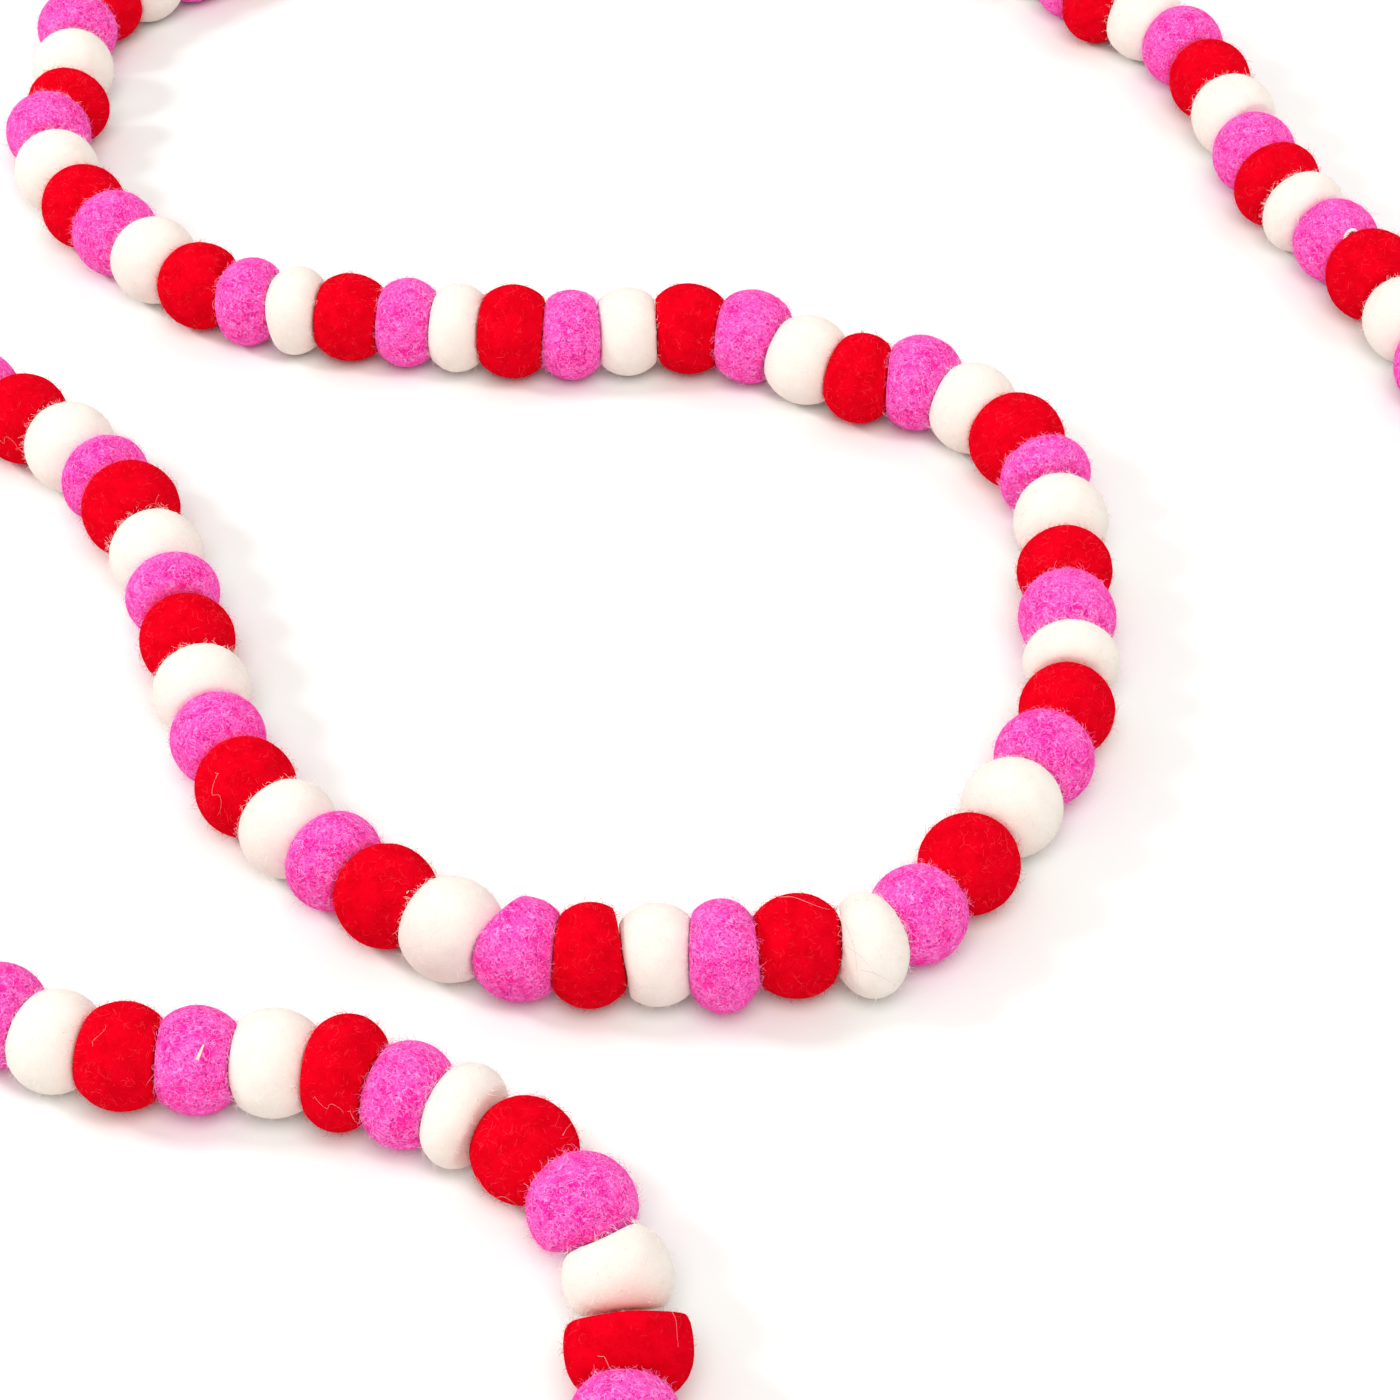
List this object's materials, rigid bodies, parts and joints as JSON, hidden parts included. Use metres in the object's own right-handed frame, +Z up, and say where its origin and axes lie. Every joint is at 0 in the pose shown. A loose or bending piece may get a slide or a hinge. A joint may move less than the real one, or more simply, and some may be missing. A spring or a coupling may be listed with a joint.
{
  "type": "felt ball garland",
  "caption": "Long string of wool felt balls in pink, white and red, pressed together on one knotted cotton thread and laid in open curves.",
  "frame": {"origin": "middle of the bounding box, on the surface that the balls rest on", "axes": "+Z up, out of the surface; +Y away from the viewer, along the longer side of the layout; +X to the right"},
  "size_m": [0.5715, 0.6544, 0.026],
  "materials": {
    "wool_felt": "matte",
    "pink_felt": "matte",
    "white_felt": "matte",
    "red_felt": "matte",
    "cotton_thread": "matte"
  },
  "bodies": {
    "root": {"ball_trio_01": "wool_felt", "ball_trio_02": "wool_felt", "ball_trio_03": "wool_felt", "ball_trio_04": "wool_felt", "ball_trio_05": "wool_felt", "ball_trio_06": "wool_felt", "ball_trio_07": "wool_felt", "ball_trio_08": "wool_felt", "ball_trio_09": "wool_felt", "ball_trio_10": "wool_felt", "ball_trio_11": "wool_felt", "ball_trio_12": "wool_felt", "ball_trio_13": "wool_felt", "ball_trio_14": "wool_felt", "ball_trio_15": "wool_felt", "ball_trio_16": "wool_felt", "ball_trio_17": "wool_felt", "ball_trio_18": "wool_felt", "ball_trio_19": "wool_felt", "ball_trio_20": "wool_felt", "ball_trio_21": "wool_felt", "ball_trio_22": "wool_felt", "ball_trio_23": "wool_felt", "ball_trio_24": "wool_felt", "ball_trio_25": "wool_felt", "ball_trio_26": "wool_felt", "ball_trio_27": "wool_felt", "ball_trio_28": "wool_felt", "ball_trio_29": "wool_felt", "ball_trio_30": "wool_felt", "ball_trio_31": "wool_felt", "ball_trio_32": "wool_felt", "ball_trio_33": "wool_felt", "ball_trio_34": "wool_felt", "ball_trio_35": "wool_felt", "ball_trio_36": "wool_felt", "ball_trio_37": "wool_felt", "ball_trio_38": "wool_felt", "ball_trio_39": "wool_felt", "ball_trio_40": "wool_felt", "ball_trio_41": "wool_felt", "ball_trio_42": "wool_felt", "ball_trio_43": "wool_felt", "thread": "cotton_thread"}
  },
  "joints": []
}
